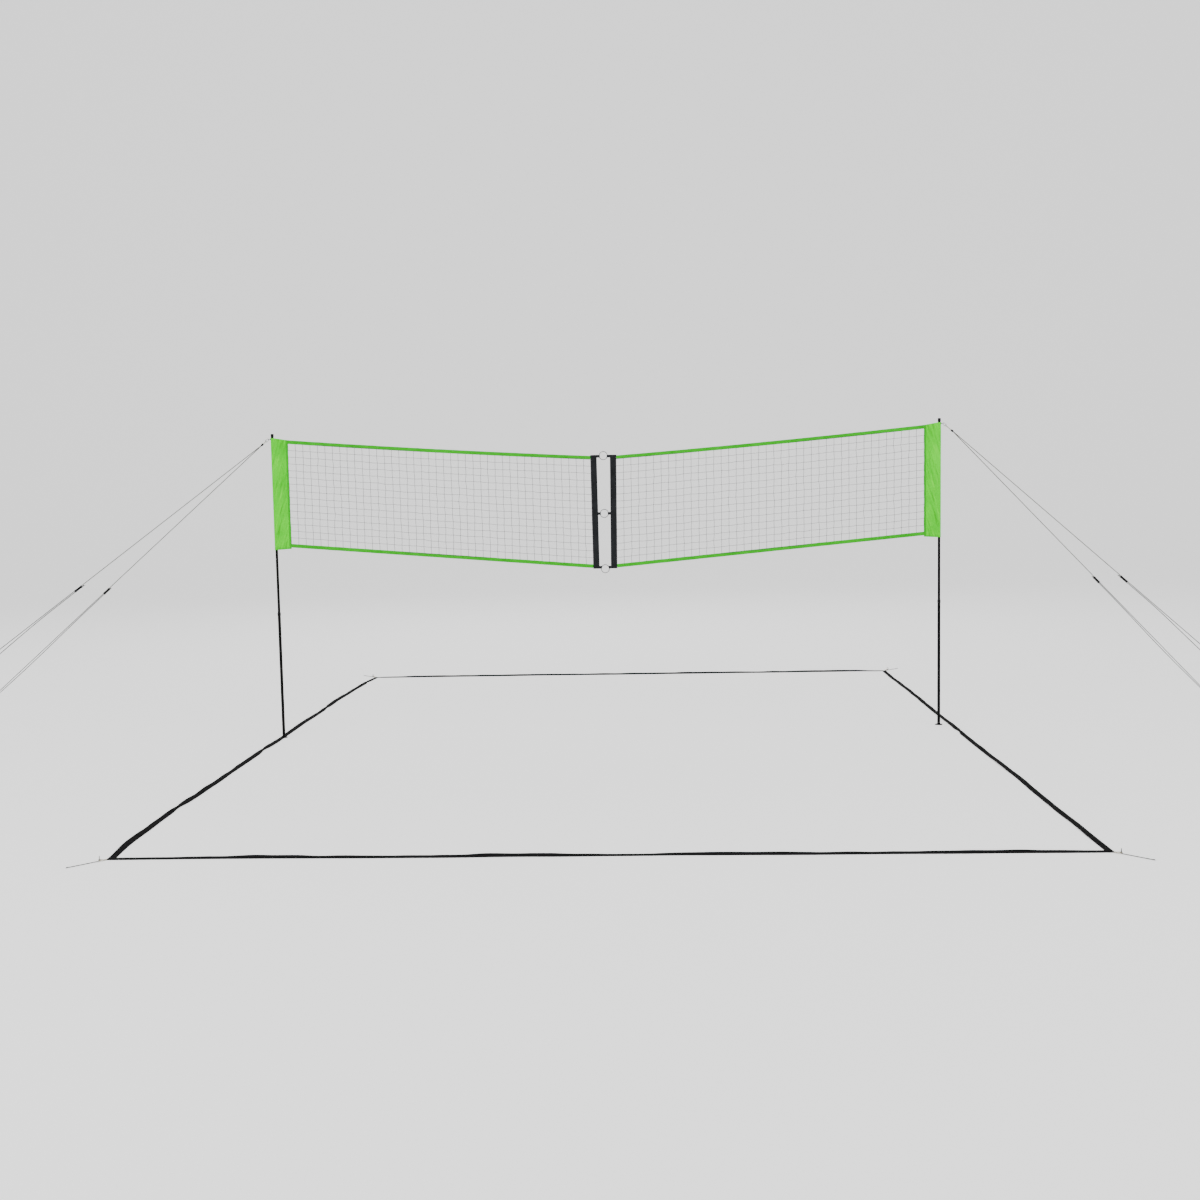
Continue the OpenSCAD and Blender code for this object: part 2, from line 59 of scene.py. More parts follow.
# ---- sizes in metres, as in the CAD where it has them ----
POLE_X = {LEFT: -2.270, RIGHT: 2.660}
POLE_Y = 0.180
SLEEVE_W, SLEEVE_T, SLEEVE_SEAM, SLEEVE_LIFT = 0.112, 0.0008, 0.0095, 0.006
POCKET_R, POCKET_MOUTH, SLEEVE_EYE_Z = 0.0122, 0.006, 2.2303
MAST_RISE = {LEFT: 0.0, RIGHT: 0.024}
SLEEVE_BOTTOM = 1.412
SLEEVE_TOP = {s: 2.237 + MAST_RISE[s] for s in SIDES}
NET_TOP_SIDE = {s: 2.220 + MAST_RISE[s] for s in SIDES}
NET_TOP_MID, NET_SAG = 2.063, 0.008
NET_BOTTOM_SIDE, NET_BOTTOM_MID = 1.428, 1.232
TAPE_W, TAPE_T = 0.027, 0.0026
CENTRE_X = 0.170
STRAP_W, STRAP_T = 0.048, 0.0021
TAB_HALF_H, TAB_T, TAB_GAP = 0.010, 0.0013, 0.0012
TWINE_D, KNOT_PLAY = 0.0026, 0.0016
GAP_TOP, GAP_BOTTOM = 0.098, 0.084
RING_R, RING_WIRE = 0.030, 0.005
RING_Z = (2.063, 1.636, 1.225)
GUY_X = 5.065
SPREAD = {LEFT: 0.850, RIGHT: 0.650}
RUNNER_SHARE = {(LEFT, FRONT): 0.464, (LEFT, BACK): 0.5, (RIGHT, FRONT): 0.504, (RIGHT, BACK): 0.528}
ROPE_D, ROPE_PITCH, STRAND_GAP = 0.0050, 0.0066, 0.0084
SAG_DEPTH = {FRONT: 0.026, BACK: 0.008}
STRAIGHT_L, RUNNER_L, RUNNER_TAIL = 0.190, 0.062, 0.008
PEG_RING_R, RING_PLAY, EYE_HOLE_Z = 0.011, 0.001, 0.0063
COURT_W, COURT_L, COURT_X, COURT_TURN = 5.020, 6.5, 0.250, math.radians(-2.7)
SIDE_BOW = 0.048
WEBBING_W, WEBBING_T = 0.040, 0.0018
CORNER_REACH = 0.030
PINCH_NARROW, PINCH_THICK = 0.6, 2.2
TILT = math.radians(40)
PULL = np.array([math.cos(TILT), 0.0, -math.sin(TILT)])
HOOK_TOP = np.array([0.030, 0.0, 2.228]) - 0.0032 * PULL
ROPE_START = HOOK_TOP + 0.0311 * PULL
FERRULE_AT = {LEFT: 0.062, RIGHT: 0.088}

# ---- the view and the studio ----
CAMERA_AT, CAMERA_DEGREES, LENS_MM = (0.08, -9.734, 1.822), (-0.264, 4.788, -1.1), 39.97
FLOOR_HALF_W, FLOOR_NEAR, FLOOR_FAR, FLOOR_BEND, FLOOR_TOP = 34.0, -60.0, 14.0, 8.0, 26.0
FLOOR_GLOW, WORLD_LIGHT, WORLD_SEEN = 0.55, 0.9, 1.4


def unit(v):
    v = np.asarray(v, float)
    return v / np.linalg.norm(v)


def lerp(a, b, t):
    return a + (b - a) * t


def at_mast(s, p):
    """A point given for the left mast, mirrored to its side and raised with its mast."""
    return np.array([POLE_X[s] + s * p[0], POLE_Y + p[1], p[2]]) + [0, 0, MAST_RISE[s]]


def distances(points):
    """How far along a path each of its points lies."""
    return np.append(0, np.cumsum(np.linalg.norm(np.diff(points, axis=0), axis=1)))


# ---- mesh building ----
class Shape:
    """Rings of points joined into one mesh, with a UV layer. Lengths in it are metres."""

    def __init__(self):
        self.points, self.faces, self.uvs, self.count = [], [], [], 0

    def sweep(self, rings, u, v, closed=True, caps=True):
        rings, u, v = np.asarray(rings, float), np.asarray(u, float), np.asarray(v, float)
        m, n = rings.shape[:2]
        base = self.count
        self.points.append(rings.reshape(-1, 3))
        self.count += m * n
        k = np.arange(n if closed else n - 1)[None, :]
        i = np.arange(m - 1)[:, None]
        k1 = (k + 1) % n
        quads = np.stack([i * n + k, i * n + k1, (i + 1) * n + k1, (i + 1) * n + k], -1) + base
        self.faces += quads.reshape(-1, 4).tolist()
        u0, u1, v0, v1 = np.broadcast_arrays(u[i], u[i + 1], v[k], v[k + 1])
        self.uvs.append(np.stack([u0, v0, u0, v1, u1, v1, u1, v0], -1).reshape(-1, 2))
        if closed and caps:
            for ring, order in ((0, range(n - 1, -1, -1)), (m - 1, range(n))):
                self.faces.append([base + ring * n + j for j in order])
                self.uvs.append(np.array([[u[ring], v[j]] for j in order]))

    def tube(self, points, radius, sides=8, up=(0, 0, 1), loop=False):
        points = np.asarray(points, float)
        if loop:
            points = np.vstack([points, points[:1]])
            t = np.roll(points[:-1], -1, 0) - np.roll(points[:-1], 1, 0)
            t = np.vstack([t, t[:1]])
        else:
            t = np.gradient(points, axis=0)
        t /= np.linalg.norm(t, axis=1)[:, None]
        a = np.cross(t, np.asarray(up, float))
        a /= np.linalg.norm(a, axis=1)[:, None]
        b = np.cross(t, a)
        angle = 2 * math.pi * np.arange(sides) / sides
        radius = np.broadcast_to(np.asarray(radius, float), (len(points),))
        rings = points[:, None] + radius[:, None, None] * (
            np.cos(angle)[None, :, None] * a[:, None] + np.sin(angle)[None, :, None] * b[:, None])
        self.sweep(rings, distances(points), np.arange(sides + 1) / sides, caps=not loop)

    def ribbon(self, centres, across, normal, profile):
        """A closed profile of (across, normal) points carried along centres."""
        centres, across, normal = (np.asarray(x, float) for x in (centres, across, normal))
        profile = np.asarray(profile, float)
        if profile.ndim == 2:
            profile = np.broadcast_to(profile, (len(centres),) + profile.shape)
        rings = centres[:, None] + profile[:, :, :1] * across[:, None] + profile[:, :, 1:] * normal[:, None]
        v = np.append(profile[0, :, 0], profile[0, 0, 0])
        self.sweep(rings, distances(centres), v)

    def blob(self, centre, radii, turns, rows, lumps):
        lat = np.linspace(-math.pi / 2 + 0.15, math.pi / 2 - 0.15, rows)
        lon = 2 * math.pi * np.arange(turns) / turns
        la, lo = np.meshgrid(lat, lon, indexing="ij")
        r = 1 + lumps * np.sin(3 * lo + 4 * la)
        p = np.stack([radii[0] * r * np.cos(la) * np.cos(lo), radii[1] * r * np.cos(la) * np.sin(lo),
                      radii[2] * np.sin(la)], -1) + np.asarray(centre)
        self.sweep(p, lat * radii[0], np.arange(turns + 1) / turns)

    def make(self, name, material, slot, fix=True):
        mesh = bpy.data.meshes.new(name)
        mesh.from_pydata(np.concatenate(self.points).tolist(), [], self.faces)
        layer = mesh.uv_layers.new(name="UVMap")
        layer.data.foreach_set("uv", np.concatenate(self.uvs).ravel())
        if fix:
            bm = bmesh.new()
            bm.from_mesh(mesh)
            bmesh.ops.recalc_face_normals(bm, faces=bm.faces)
            bm.to_mesh(mesh)
            bm.free()
        mesh.shade_smooth()
        mesh.set_sharp_from_angle(angle=math.radians(50))
        mesh.materials.append(material)
        obj = bpy.data.objects.new(name, mesh)
        bpy.context.scene.collection.objects.link(obj)
        return obj


def flat_profile(width, thick):
    """A flat strip's section with rounded edges."""
    half, r = width / 2, thick / 2
    xs = np.linspace(-half + r, half - r, 7)
    arc = np.linspace(-math.pi / 2, math.pi / 2, 6)[1:-1]
    lower = [(x, -r) for x in xs]
    right = [(half - r + r * math.cos(a), r * math.sin(a)) for a in arc]
    upper = [(x, r) for x in xs[::-1]]
    left = [(-half + r - r * math.cos(a), -r * math.sin(a)) for a in arc]
    return np.array(lower + right + upper + left)


# ---- materials ----
class Finish:
    """A procedural node material, and short names for the nodes that it is built from."""

    def __init__(self, name, rough, metal=0.0, spec=0.5):
        self.material = bpy.data.materials.new(name)
        self.material.use_nodes = True
        self.tree = self.material.node_tree
        self.shader = self.tree.nodes["Principled BSDF"]
        for socket, value in (("Roughness", rough), ("Metallic", metal), ("Specular IOR Level", spec)):
            self.shader.inputs[socket].default_value = value

    def put(self, socket, value):
        if isinstance(value, bpy.types.NodeSocket):
            self.tree.links.new(value, socket)
        else:
            socket.default_value = value

    def node(self, kind, **settings):
        made = self.tree.nodes.new(kind)
        for key, value in settings.items():
            setattr(made, key, value)
        return made

    def math(self, op, a, b=0.0):
        n = self.node("ShaderNodeMath", operation=op)
        self.put(n.inputs[0], a)
        self.put(n.inputs[1], b)
        return n.outputs[0]

    def coords(self, kind="Object"):
        n = self.node("ShaderNodeTexCoord")
        return n.outputs[kind]

    def split(self, vector):
        n = self.node("ShaderNodeSeparateXYZ")
        self.put(n.inputs[0], vector)
        return n.outputs

    def join(self, x, y, z=0.0):
        n = self.node("ShaderNodeCombineXYZ")
        for socket, value in zip(n.inputs, (x, y, z)):
            self.put(socket, value)
        return n.outputs[0]

    def scaled(self, vector, scale):
        n = self.node("ShaderNodeVectorMath", operation="MULTIPLY")
        self.put(n.inputs[0], vector)
        n.inputs[1].default_value = scale
        return n.outputs[0]

    def noise(self, vector, scale, detail=3.0, rough=0.5):
        n = self.node("ShaderNodeTexNoise")
        self.put(n.inputs["Vector"], vector)
        n.inputs["Scale"].default_value = scale
        n.inputs["Detail"].default_value = detail
        n.inputs["Roughness"].default_value = rough
        return n.outputs["Fac"]

    def cells(self, vector, scale):
        n = self.node("ShaderNodeTexVoronoi")
        self.put(n.inputs["Vector"], vector)
        n.inputs["Scale"].default_value = scale
        return n.outputs["Distance"]

    def span(self, value, lo, hi, to_lo=0.0, to_hi=1.0):
        n = self.node("ShaderNodeMapRange")
        for socket, x in zip(n.inputs, (value, lo, hi, to_lo, to_hi)):
            self.put(socket, x)
        return n.outputs[0]

    def mix(self, fac, a, b):
        n = self.node("ShaderNodeMix", data_type="RGBA")
        self.put(n.inputs["Factor"], fac)
        for socket, value in ((n.inputs[6], a), (n.inputs[7], b)):
            self.put(socket, value if isinstance(value, bpy.types.NodeSocket) else (*value, 1.0))
        return n.outputs[2]

    def wave(self, value, period):
        """0 to 1 and back, once every period."""
        turned = self.math("SINE", self.math("MULTIPLY", value, 2 * math.pi / period))
        return self.span(turned, -1.0, 1.0)

    def seam(self, across, at, along, pitch=0.0036, lo=0.3, hi=0.45):
        """A dashed line of thread, at a distance across and running along."""
        off = self.math("ABSOLUTE", self.math("SUBTRACT", across, at))
        row = self.span(off, 0.0007, 0.0004)
        return self.math("MULTIPLY", row, self.span(self.wave(along, pitch), lo, hi))

    def colour(self, value):
        self.put(self.shader.inputs["Base Color"], value)

    def rough(self, value):
        self.put(self.shader.inputs["Roughness"], value)

    def bump(self, height, depth, strength=1.0):
        n = self.node("ShaderNodeBump")
        self.put(n.inputs["Height"], height)
        n.inputs["Distance"].default_value = depth
        n.inputs["Strength"].default_value = strength
        if self.shader.inputs["Normal"].is_linked:
            self.put(n.inputs["Normal"], self.shader.inputs["Normal"].links[0].from_socket)
        self.put(self.shader.inputs["Normal"], n.outputs[0])


def shade(colour, times, plus=0.0):
    return tuple(min(1.0, times * c + plus) for c in colour)


def painted_tube():
    """Black gloss paint with fine wear along the tube."""
    f = Finish("pole_black", rough=0.34, spec=0.05)
    p = f.coords()
    streak = f.noise(f.scaled(p, (260.0, 260.0, 5.0)), 1.0, 4.0, 0.6)
    dust = f.noise(p, 14.0, 4.0)
    worn = f.span(streak, 0.62, 0.8)
    paint = f.mix(dust, (0.003, 0.003, 0.0032), (0.006, 0.006, 0.0062))
    f.colour(f.mix(f.math("MULTIPLY", worn, 0.5), paint, (0.02, 0.02, 0.021)))
    f.rough(f.span(f.math("ADD", dust, f.math("MULTIPLY", worn, 0.4)), 0.3, 1.0, 0.26, 0.52))
    f.bump(f.noise(p, 1400.0, 2.0), 0.00006, 0.5)
    return f.material


def moulded(name, dark, light, rough, grain=900.0, spec=0.12):
    """Black plastic or rubber with a fine grain."""
    f = Finish(name, rough=rough, spec=spec)
    p = f.coords()
    worn = f.span(f.noise(p, 60.0, 5.0, 0.65), 0.5, 0.75)
    f.colour(f.mix(worn, dark, light))
    f.rough(f.span(f.noise(p, 35.0, 3.0), 0.3, 0.7, rough - 0.1, rough + 0.15))
    f.bump(f.cells(p, grain), 0.00012, 0.5)
    return f.material


def metal(name, bright, dull, rough, scratch=0.4, scale=220.0):
    """Bare or plated steel, patchy and lightly scratched."""
    f = Finish(name, rough=rough, metal=1.0)
    p = f.coords()
    patch = f.noise(p, scale * 0.25, 4.0, 0.6)
    lines = f.noise(f.scaled(p, (1.0, 1.0, 6.0)), scale * 3, 3.0, 0.7)
    f.colour(f.mix(f.span(patch, 0.4, 0.7), bright, dull))
    marks = f.math("ADD", patch, f.math("MULTIPLY", lines, scratch))
    f.rough(f.span(marks, 0.4, 1.1, rough - 0.06, rough + 0.16))
    f.bump(lines, 0.00004, scratch)
    return f.material


def sleeve_cloth():
    """Coated woven sheet with painted highlights and painted shade along its creases: UV is (distance from
    the pole's axis inwards, height).
    """
    f = Finish("sleeve_fabric", rough=0.5, spec=0.03)
    u, v, _ = f.split(f.coords("UV"))
    p = f.coords()
    slant = f.join(f.math("ADD", u, f.math("MULTIPLY", v, 0.45)),
                   f.math("SUBTRACT", f.math("MULTIPLY", v, 0.28), u))
    # streak: slanted noise, laid like the creases, that carries painted light and shade along them
    streak = f.noise(f.scaled(slant, (9.0, 60.0, 1.0)), 1.0, 4.0, 0.6)
    cloud = f.noise(p, 7.0, 4.0, 0.55)
    fine = f.noise(f.scaled(p, (300.0, 300.0, 900.0)), 1.0, 2.0)
    body = f.mix(f.span(cloud, 0.3, 0.7), (0.04, 0.68, 0.0), (0.08, 0.86, 0.0))
    # painted highlight: the streak lightens the green along the crease ridges
    body = f.mix(f.math("MULTIPLY", f.span(streak, 0.54, 0.70), 0.9), body, (0.16, 0.98, 0.01))
    # painted shade: the streak darkens the green in the crease hollows
    body = f.mix(f.math("MULTIPLY", f.span(streak, 0.46, 0.30), 0.75), body, (0.02, 0.36, 0.0))
    net_edge = f.span(u, 0.0968, 0.0972)
    body = f.mix(f.math("MULTIPLY", net_edge, 0.75), body, (0.004, 0.36, 0.004))
    hem = f.span(v, SLEEVE_BOTTOM + 0.0185, SLEEVE_BOTTOM + 0.018)
    body = f.mix(f.math("MULTIPLY", hem, 0.35), body, (0.004, 0.38, 0.004))
    upright = f.math("MAXIMUM", f.seam(u, 0.0985, v), f.seam(u, 0.0225, v))
    thread = f.math("MAXIMUM", upright, f.seam(v, SLEEVE_BOTTOM + 0.016, u))
    f.colour(f.mix(f.math("MULTIPLY", thread, 0.8), body, (0.10, 0.75, 0.05)))
    weave = f.math("MULTIPLY", f.wave(u, 0.0011), f.wave(v, 0.0011))
    f.rough(f.span(f.math("ADD", cloud, f.math("MULTIPLY", fine, 0.3)), 0.3, 1.0, 0.40, 0.62))
    f.bump(weave, 0.00008, 0.5)
    f.bump(thread, 0.0004, 0.8)
    f.bump(f.noise(p, 55.0, 3.0), 0.0006, 0.35)
    return f.material


def stitched_strip(name, dark, light, thread, rows, rib, cross, depth, rough=0.72, spec=0.08):
    """Tape or webbing with rows of stitches: UV is (along, across), both in metres."""
    f = Finish(name, rough=rough, spec=spec)
    u, v, _ = f.split(f.coords("UV"))
    p = f.coords()
    zigzag = f.math("ABSOLUTE", f.math("SUBTRACT", f.math("FRACT", f.math("DIVIDE", v, 0.008)), 0.5))
    chevron = f.wave(f.math("ADD", u, f.math("MULTIPLY", zigzag, 0.006)), cross)
    ribs = f.wave(v, rib)
    weave = f.math("ADD", f.math("MULTIPLY", chevron, 0.6), f.math("MULTIPLY", ribs, 0.4))
    cloud = f.noise(p, 11.0, 4.0, 0.6)
    fleck = f.noise(f.scaled(p, (900.0, 900.0, 900.0)), 1.0, 2.0)
    body = f.mix(f.span(cloud, 0.3, 0.7), dark, light)
    # painted shade: the low places of the weave, where the bump dips, are darkened
    body = f.mix(f.math("MULTIPLY", f.span(weave, 0.55, 0.15), 0.45), body, shade(dark, 0.45))
    body = f.mix(f.math("MULTIPLY", f.span(fleck, 0.6, 0.8), 0.3), body, shade(light, 1.7, 0.01))
    seams = None
    for at in rows:
        line = f.seam(v, at, u, 0.0042, 0.25, 0.4)
        seams = line if seams is None else f.math("MAXIMUM", seams, line)
    if seams is not None:
        body = f.mix(f.math("MULTIPLY", seams, 0.85), body, thread)
    f.colour(body)
    f.rough(f.span(cloud, 0.3, 0.7, rough - 0.08, rough + 0.12))
    f.bump(weave, depth, 0.7)
    if seams is not None:
        f.bump(seams, 0.0004, 0.8)
    return f.material


def twisted(name, dark, light, pitch, plies, rough=0.7, depth=0.0003):
    """Laid or braided cord: UV is (along in metres, round from 0 to 1)."""
    f = Finish(name, rough=rough, spec=0.15)
    u, v, _ = f.split(f.coords("UV"))
    p = f.coords()
    along = f.math("DIVIDE", u, pitch)
    one = f.wave(f.math("ADD", along, f.math("MULTIPLY", v, plies)), 1.0)
    two = f.wave(f.math("SUBTRACT", along, f.math("MULTIPLY", v, plies)), 1.0)
    braid = f.math("MAXIMUM", one, two)
    patch = f.noise(p, 40.0, 4.0, 0.6)
    body = f.mix(f.span(patch, 0.3, 0.7), dark, light)
    # painted shade: the grooves between the braid's strands, where the bump dips, are darkened
    body = f.mix(f.math("MULTIPLY", f.span(braid, 0.75, 0.2), 0.6), body, shade(dark, 0.35))
    tracer = f.wave(f.math("ADD", f.math("MULTIPLY", along, 0.25), v), 1.0)
    f.colour(f.mix(f.math("MULTIPLY", f.span(tracer, 0.8, 0.95), 0.35), body, shade(light, 1.6, 0.02)))
    f.rough(f.span(patch, 0.3, 0.7, rough - 0.1, rough + 0.1))
    f.bump(braid, depth, 0.8)
    return f.material


def studio_floor():
    """Pale studio paper, brighter to the camera than to the object."""
    f = Finish("floor_pale", rough=0.85, spec=0.05)
    p = f.coords()
    f.colour(f.mix(f.noise(p, 1.2, 4.0), (0.88, 0.88, 0.88), (0.90, 0.90, 0.90)))
    f.bump(f.noise(p, 180.0, 3.0), 0.0002, 0.15)
    f.shader.inputs["Emission Color"].default_value = (1.0, 1.0, 1.0, 1.0)
    seen = f.node("ShaderNodeLightPath").outputs["Is Camera Ray"]
    f.put(f.shader.inputs["Emission Strength"], f.math("MULTIPLY", seen, FLOOR_GLOW))
    return f.material


BLACK_TUBE = painted_tube()
BLACK_PLASTIC = moulded("black_plastic", (0.005, 0.005, 0.0055), (0.016, 0.016, 0.0165), 0.42)
RUBBER = moulded("foot_rubber", (0.004, 0.004, 0.004), (0.016, 0.0157, 0.015), 0.7, 500.0, spec=0.02)
NICKEL = metal("ring_steel", (0.15, 0.15, 0.155), (0.07, 0.07, 0.073), 0.26)
BUTTON = metal("button_steel", (0.92, 0.92, 0.93), (0.75, 0.75, 0.76), 0.3)
ZINC = metal("hook_steel", (0.16, 0.16, 0.15), (0.08, 0.08, 0.075), 0.3)
SPRING = metal("spring_steel", (0.5, 0.5, 0.52), (0.36, 0.36, 0.38), 0.3)
DARK_STEEL = metal("dark_steel", (0.075, 0.085, 0.075), (0.03, 0.033, 0.03), 0.4)
WIRE = metal("peg_steel", (0.14, 0.14, 0.135), (0.06, 0.06, 0.057), 0.34, 0.6)
SLEEVE = sleeve_cloth()
TAPE = stitched_strip("edge_tape", (0.012, 0.40, 0.003), (0.03, 0.54, 0.008), (0.08, 0.64, 0.04),
                      (-0.0105, 0.0105), rib=0.0012, cross=0.0014, depth=0.00015, rough=0.6)
CHARCOAL = stitched_strip("centre_webbing", (0.010, 0.011, 0.0125), (0.023, 0.025, 0.028),
                          (0.05, 0.052, 0.055), (-0.0205, 0.0205), rib=0.0021, cross=0.0026, depth=0.0005)
COURT = stitched_strip("court_webbing", (0.004, 0.004, 0.0042), (0.009, 0.009, 0.0095),
                       (0.02, 0.02, 0.02), (), rib=0.0019, cross=0.0024, depth=0.0004, rough=0.7, spec=0.02)
CREAM = stitched_strip("corner_loop", (0.55, 0.49, 0.34), (0.70, 0.65, 0.50), (0.8, 0.77, 0.65), (),
                       rib=0.0012, cross=0.0015, depth=0.0002)
TWINE = twisted("twine", (0.06, 0.056, 0.06), (0.11, 0.104, 0.11), 0.0042, 1.0, rough=0.6, depth=0.0002)
OLIVE = twisted("guy_rope", (0.022, 0.023, 0.014), (0.06, 0.062, 0.038), 0.0056, 2.0)
OLIVE_DARK = twisted("guy_rope_lower", (0.004, 0.0045, 0.003), (0.014, 0.015, 0.010), 0.0056, 2.0)
PALE_CORD = twisted("guy_rope_loop", (0.42, 0.41, 0.34), (0.6, 0.585, 0.5), 0.004, 2.0)
DARK_CORD = twisted("dark_cord", (0.012, 0.016, 0.012), (0.03, 0.036, 0.028), 0.003, 2.0)


# ---- camera ----
def add_camera():
    yaw, pitch, roll = map(math.radians, CAMERA_DEGREES)
    r = np.array([math.cos(yaw), math.sin(yaw), 0.0])
    f = np.array([-math.sin(yaw) * math.cos(pitch), math.cos(yaw) * math.cos(pitch), -math.sin(pitch)])
    u = np.cross(r, f)
    x = r * math.cos(roll) + u * math.sin(roll)
    y = -r * math.sin(roll) + u * math.cos(roll)
    data = bpy.data.cameras.new("view")
    data.lens = LENS_MM
    data.sensor_width = 36.0
    data.clip_end = 200.0
    camera = bpy.data.objects.new("view", data)
    place = Matrix.Identity(4)
    for i in range(3):
        place[i][0], place[i][1], place[i][2] = x[i], y[i], -f[i]
    place.translation = Vector(CAMERA_AT)
    camera.matrix_world = place
    bpy.context.scene.collection.objects.link(camera)
    bpy.context.scene.camera = camera


add_camera()


# ---- guy ropes ----
def guy_geometry(s, f):
    """Where one guy rope runs: its peg's eye, its top, its two strands and how far up its runner sits."""
    eye = np.array([s * GUY_X, POLE_Y + f * SPREAD[s], EYE_HOLE_Z])
    top = at_mast(s, HOOK_TOP + (FERRULE_AT[s] + 0.012) * PULL + [0, f * ROPE_PITCH / 2, 0])
    along = unit(top - eye)
    under = np.cross(along, unit(np.cross(along, [0, 0, 1])))
    ring = eye + (2 * PEG_RING_R + RING_PLAY) * along
    end = ring - STRAND_GAP / 2 * under
    strand = unit(top - end)
    reach = (1 - RUNNER_SHARE[s, f]) * np.linalg.norm(top - end)
    return eye, top, along, under, ring, end, strand, reach


def path_length(points):
    return float(np.linalg.norm(np.diff(points, axis=0), axis=1).sum())


def add_guy(s, f):
    """The guy rope, its return strand up to the runner, and the stopper knot above the runner."""
    name = f"{SIDE[s]}_{END[f]}"
    _, top, along, under, ring, end, strand, reach = guy_geometry(s, f)
    start = at_mast(s, ROPE_START + [0, f * ROPE_PITCH / 2, 0])
    bend = [ring + STRAND_GAP / 2 * (-math.cos(a) * under - math.sin(a) * along)
            for a in np.linspace(0, math.pi, 9)[1:-1]]
    long_path = np.array([start, lerp(start, top, 0.5), lerp(start, top, 0.9), lerp(top, end, 0.002)]
                         + [lerp(top, end, i / 60) for i in range(1, 61)] + bend)
    shape = Shape()
    shape.tube(long_path, ROPE_D / 2, 10)
    guy = shape.make(f"{name}_guy_rope", OLIVE, "guy_rope")
    guy.data.materials.append(OLIVE_DARK)
    middles = np.array([guy.data.vertices[p.vertices[0]].co[:] for p in guy.data.polygons])
    lower = (middles - end) @ strand < reach
    guy.data.polygons.foreach_set("material_index", lower.astype(np.int32))
    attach(guy, "ground_set")
    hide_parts(f"{name}_guy")
    sag_l = reach - STRAIGHT_L
    base = end + STRAND_GAP * under
    sagging = [base + t * sag_l * strand + SAG_DEPTH[f] * math.sin(math.pi * t) ** 2 * under
               for t in np.linspace(0, 1, 49)]
    stops = (sag_l + 0.06, sag_l + 0.12, reach, reach + RUNNER_L / 2 + RUNNER_TAIL)
    short = np.array(sagging + [base + x * strand for x in stops])
    shape = Shape()
    shape.tube(short, ROPE_D / 2, 10)
    back = shape.make(f"{name}_return_rope", OLIVE_DARK, "guy_rope")
    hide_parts(f"{name}_return")
    knot_at = short[-1] + 0.001 * strand
    shape = Shape()
    side = unit(np.cross(strand, under))
    coil = [knot_at + 0.0024 * (math.cos(a) * side + math.sin(a) * under) * (1 + 0.25 * math.cos(1.5 * a))
            + 0.0016 * math.sin(1.5 * a) * strand for a in np.linspace(0, 4 * math.pi, 49)[:-1]]
    shape.tube(coil, ROPE_D * 0.44, 8, up=strand, loop=True)
    shape.tube([knot_at, knot_at + 0.006 * strand + 0.001 * under, knot_at + 0.013 * strand + 0.004 * under],
               [ROPE_D * 0.45, ROPE_D * 0.45, ROPE_D * 0.3], 8)
    knot = shape.make(f"{name}_runner_knot", OLIVE_DARK, "guy_rope")
    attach(knot, f"{name}_runner")
    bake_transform(back)
    return guy, long_path, start, back, short, base, knot


guys = {(s, f): add_guy(s, f) for s in SIDES for f in ENDS}


def rope_loop(s):
    """The rope's middle, passed through the hook's lower end."""
    hook_end = HOOK_TOP + 0.029 * PULL
    turn = [hook_end + 0.0044 * (-math.cos(a) * PULL + math.sin(a) * np.array([0, 1, 0]))
            for a in np.linspace(-math.pi / 2, math.pi / 2, 13)]
    half = ROPE_PITCH / 2
    pts = [ROPE_START + 0.004 * PULL + [0, -half, 0], ROPE_START + [0, -half - 0.0003, 0]] + turn
    pts += [ROPE_START + [0, half + 0.0003, 0], ROPE_START + 0.004 * PULL + [0, half, 0]]
    shape = Shape()
    shape.tube([at_mast(s, p) for p in pts], ROPE_D / 2 * 1.04, 10, up=(0.3, 0, 1))
    ferrule = HOOK_TOP + (FERRULE_AT[s] - 0.008) * PULL
    for y in ENDS:
        leg = [at_mast(s, lerp(ROPE_START, ferrule, t) + [0, y * half, 0]) for t in np.linspace(0, 1, 9)]
        shape.tube(leg, ROPE_D / 2 * 1.06, 10)
    loop = shape.make(f"{SIDE[s]}_rope_loop", PALE_CORD, "guy_rope")
    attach(loop, f"{SIDE[s]}_mast")


for s in SIDES:
    rope_loop(s)

for (s, f), (guy, long_path, start, back, short, base, knot) in guys.items():
    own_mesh(guy)


# ---- net ----
def net_top(s, t):
    """Height of a half's top edge, from its mast at 0 to the middle at 1."""
    return lerp(NET_TOP_SIDE[s], NET_TOP_MID, t) - NET_SAG * 4 * t * (1 - t)


def net_bottom(t):
    return lerp(NET_BOTTOM_SIDE, NET_BOTTOM_MID, t)


def inner_edge_x(s):
    return POLE_X[s] - s * (SLEEVE_W + (0.0004 if s > 0 else 0))


def strap_edge(s, z):
    share = (z - NET_BOTTOM_MID) / (NET_TOP_MID - NET_BOTTOM_MID)
    return CENTRE_X + s * lerp(GAP_BOTTOM / 2, GAP_TOP / 2, share)


def panel_end(s, z):
    return strap_edge(s, z) + s * STRAP_W


